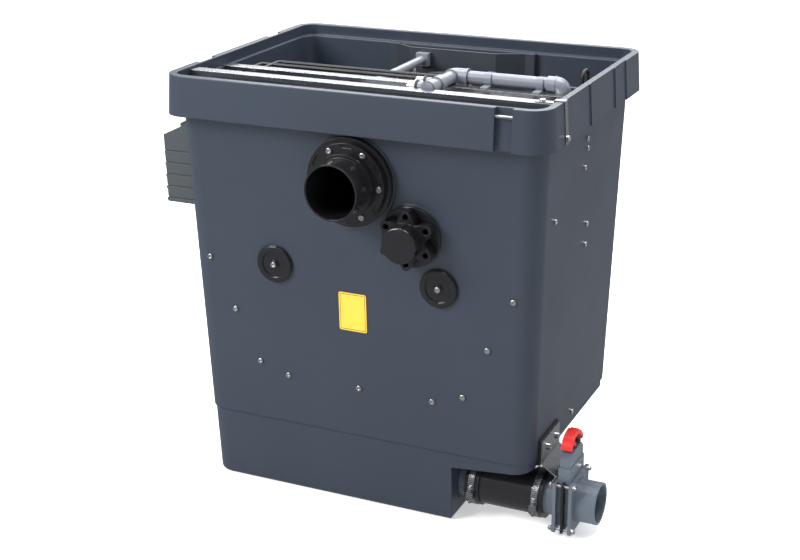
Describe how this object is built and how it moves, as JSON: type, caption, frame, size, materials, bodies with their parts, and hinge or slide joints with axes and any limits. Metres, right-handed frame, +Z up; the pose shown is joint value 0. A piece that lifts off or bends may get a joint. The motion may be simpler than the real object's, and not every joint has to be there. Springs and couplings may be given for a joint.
{
  "type": "pond drum filter",
  "caption": "Open-topped moulded filter tank on a sump base, with a geared screen drum, rinse pipework, flanged inlet, star-grip port cap and slide-valve drain.",
  "frame": {"origin": "ground level under the middle of the tank, on the flat underside of the sump block", "axes": "+X to the right seen from the inlet side, towards the drain socket; +Y away from the inlet, towards the outlet; +Z up"},
  "size_m": [0.9695, 0.719, 0.8935],
  "materials": {
    "tank_plastic": "satin moulded",
    "black_plastic": "gloss",
    "grey_pvc": "semi-gloss",
    "light_pvc": "smooth",
    "box_plastic": "satin",
    "red_plastic": "gloss",
    "yellow_plate": "printed plate, blank",
    "steel": "brushed stainless",
    "rubber": "matt",
    "screen_mesh": "fine mesh",
    "white_plastic": "smooth"
  },
  "bodies": {
    "tank": {"back_baffle": "tank_plastic", "bracket_bolts": "steel", "bracket_pad": "rubber", "branch_plugs": "steel", "branch_rings": "rubber", "branch_tees": "light_pvc", "bulkhead_plate": "tank_plastic", "cables": "rubber", "cap_flange": "black_plastic", "clamp_rings": "black_plastic", "control_cover": "box_plastic", "control_housing": "box_plastic", "drain_coupling": "rubber", "drain_stub": "grey_pvc", "drive_plate": "steel", "feed_pipes": "light_pvc", "flange_screws": "steel", "float_bracket": "steel", "float_stem": "steel", "front_rail": "steel", "gear_motor": "steel", "hose_clamps": "steel", "inlet_pipe": "black_plastic", "label_plate": "yellow_plate", "manifold_pipe": "light_pvc", "neck_seal": "rubber", "outlet_pipe": "black_plastic", "pipe_clips": "light_pvc", "pipe_elbows": "light_pvc", "port_flanges": "black_plastic", "rail_strap": "steel", "rear_bearing": "black_plastic", "rear_rail": "steel", "rim_pin": "steel", "rinse_pump": "black_plastic", "roller_axles": "steel", "roller_covers": "black_plastic", "spray_bar": "light_pvc", "spray_nozzles": "steel", "tank_shell": "tank_plastic", "valve_body_inner": "grey_pvc", "valve_body_outer": "grey_pvc", "valve_bolts": "steel", "valve_bonnet": "grey_pvc", "valve_bracket": "steel", "valve_frame": "rubber", "wall_screws": "steel", "waste_trough": "tank_plastic"},
    "drum": {"drum_neck_ring": "black_plastic", "drum_gear_ring": "black_plastic", "drum_frame": "black_plastic", "drum_screens": "screen_mesh", "drum_end_plate": "black_plastic"},
    "drive_pinion": {"pinion": "black_plastic"},
    "roller_left": {"roller_left": "black_plastic"},
    "roller_right": {"roller_right": "black_plastic"},
    "star_cap": {"star_cap": "black_plastic"},
    "gate": {"valve_blade": "steel", "valve_handle": "red_plastic"},
    "float": {"level_float": "white_plastic"}
  },
  "joints": [
    {"name": "drum_spin", "type": "hinge", "parent": "tank", "child": "drum", "pos_m": [0, 0, 0.627], "axis": [0, 1, 0], "continuous": true},
    {"name": "pinion_spin", "type": "hinge", "parent": "tank", "child": "drive_pinion", "pos_m": [0.17508, -0.17, 0.78465], "axis": [0, 1, 0], "continuous": true},
    {"name": "roller_left_spin", "type": "hinge", "parent": "tank", "child": "roller_left", "pos_m": [-0.1785, -0.202, 0.5075], "axis": [0, 1, 0], "continuous": true},
    {"name": "roller_right_spin", "type": "hinge", "parent": "tank", "child": "roller_right", "pos_m": [0.1785, -0.202, 0.5075], "axis": [0, 1, 0], "continuous": true},
    {"name": "star_cap_turn", "type": "hinge", "parent": "tank", "child": "star_cap", "pos_m": [0.125, -0.3, 0.607], "axis": [0, -1, 0], "continuous": true},
    {"name": "gate_slide", "type": "slide", "parent": "tank", "child": "gate", "axis": [0, 0, 1], "range_m": [0, 0.068]},
    {"name": "float_slide", "type": "slide", "parent": "tank", "child": "float", "axis": [0, 0, 1], "range_m": [-0.076, 0.088]}
  ],
  "couplings": [
    {"joint": "pinion_spin", "follows": "drum_spin", "ratio": -6.8333},
    {"joint": "roller_left_spin", "follows": "drum_spin", "ratio": -7.5803},
    {"joint": "roller_right_spin", "follows": "drum_spin", "ratio": -7.5803}
  ]
}
